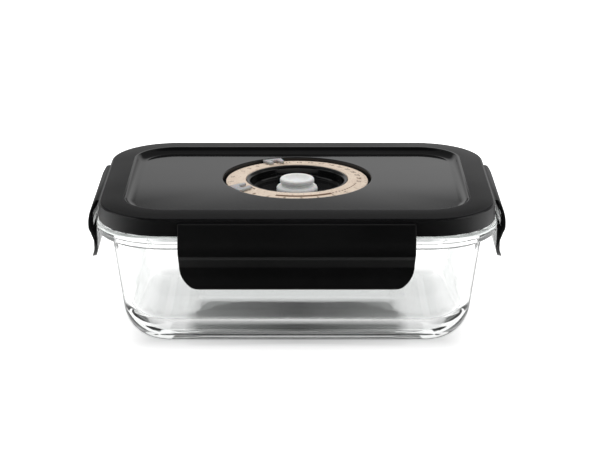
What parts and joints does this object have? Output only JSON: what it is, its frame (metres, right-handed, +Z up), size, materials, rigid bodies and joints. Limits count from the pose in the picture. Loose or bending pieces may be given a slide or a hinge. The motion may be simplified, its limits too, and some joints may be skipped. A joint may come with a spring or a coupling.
{
  "type": "vacuum seal canister",
  "caption": "Rectangular clear glass food box with a black snap-lock lid, hinged latches, a round date dial with sliding markers and a silicone valve in a pump well.",
  "frame": {"origin": "centre of the base, on the table", "axes": "+X along the long side to the right, +Y to the back, +Z up"},
  "size_m": [0.2192, 0.1616, 0.0761],
  "materials": {
    "clear_glass": "polished clear pressed glass",
    "black_lid": "satin moulded polypropylene",
    "gloss_black": "polished moulded plastic",
    "beige_dial": "matte with fine printed marks",
    "light_marker": "light translucent plastic",
    "white_silicone": "matte silicone",
    "grey_silicone": "matte silicone"
  },
  "bodies": {
    "tray": {"glass_tray": "clear_glass"},
    "lid": {"lid_shell": "black_lid", "rim_gasket": "grey_silicone", "pump_cup": "gloss_black", "dial_ring": "beige_dial", "hinge_film_front": "black_lid", "hinge_film_back": "black_lid", "hinge_film_left": "black_lid", "hinge_film_right": "black_lid"},
    "front_latch": {"latch_front": "black_lid"},
    "back_latch": {"latch_back": "black_lid"},
    "left_latch": {"latch_left": "black_lid"},
    "right_latch": {"latch_right": "black_lid"},
    "day": {"day_marker": "light_marker"},
    "month": {"month_marker": "light_marker"},
    "valve": {"valve_plug": "white_silicone"}
  },
  "joints": [
    {"name": "lid_lift", "type": "slide", "parent": "tray", "child": "lid", "axis": [0, 0, 1], "range_m": [0, 0.06]},
    {"name": "front_latch_turn", "type": "hinge", "parent": "lid", "child": "front_latch", "pos_m": [0, -0.07485, 0.0728], "axis": [-1, 0, 0], "range_deg": [-8, 100], "deforming": ["hinge_film_front"]},
    {"name": "back_latch_turn", "type": "hinge", "parent": "lid", "child": "back_latch", "pos_m": [0, 0.07485, 0.0728], "axis": [1, 0, 0], "range_deg": [-8, 100], "deforming": ["hinge_film_back"]},
    {"name": "left_latch_turn", "type": "hinge", "parent": "lid", "child": "left_latch", "pos_m": [-0.1036, 0, 0.0728], "axis": [0, 1, 0], "range_deg": [-8, 100], "deforming": ["hinge_film_left"]},
    {"name": "right_latch_turn", "type": "hinge", "parent": "lid", "child": "right_latch", "pos_m": [0.1036, 0, 0.0728], "axis": [0, -1, 0], "range_deg": [-8, 100], "deforming": ["hinge_film_right"]},
    {"name": "day_marker_turn", "type": "hinge", "parent": "lid", "child": "day", "pos_m": [0, 0.0092, 0.0715], "axis": [0, 0, 1], "range_deg": [-119, 41]},
    {"name": "month_marker_turn", "type": "hinge", "parent": "lid", "child": "month", "pos_m": [0, 0.0092, 0.0715], "axis": [0, 0, 1], "range_deg": [-40, 120]},
    {"name": "valve_lift", "type": "slide", "parent": "lid", "child": "valve", "axis": [0, 0, 1], "range_m": [0, 0.0025], "stiffness_N_per_m": 300}
  ]
}
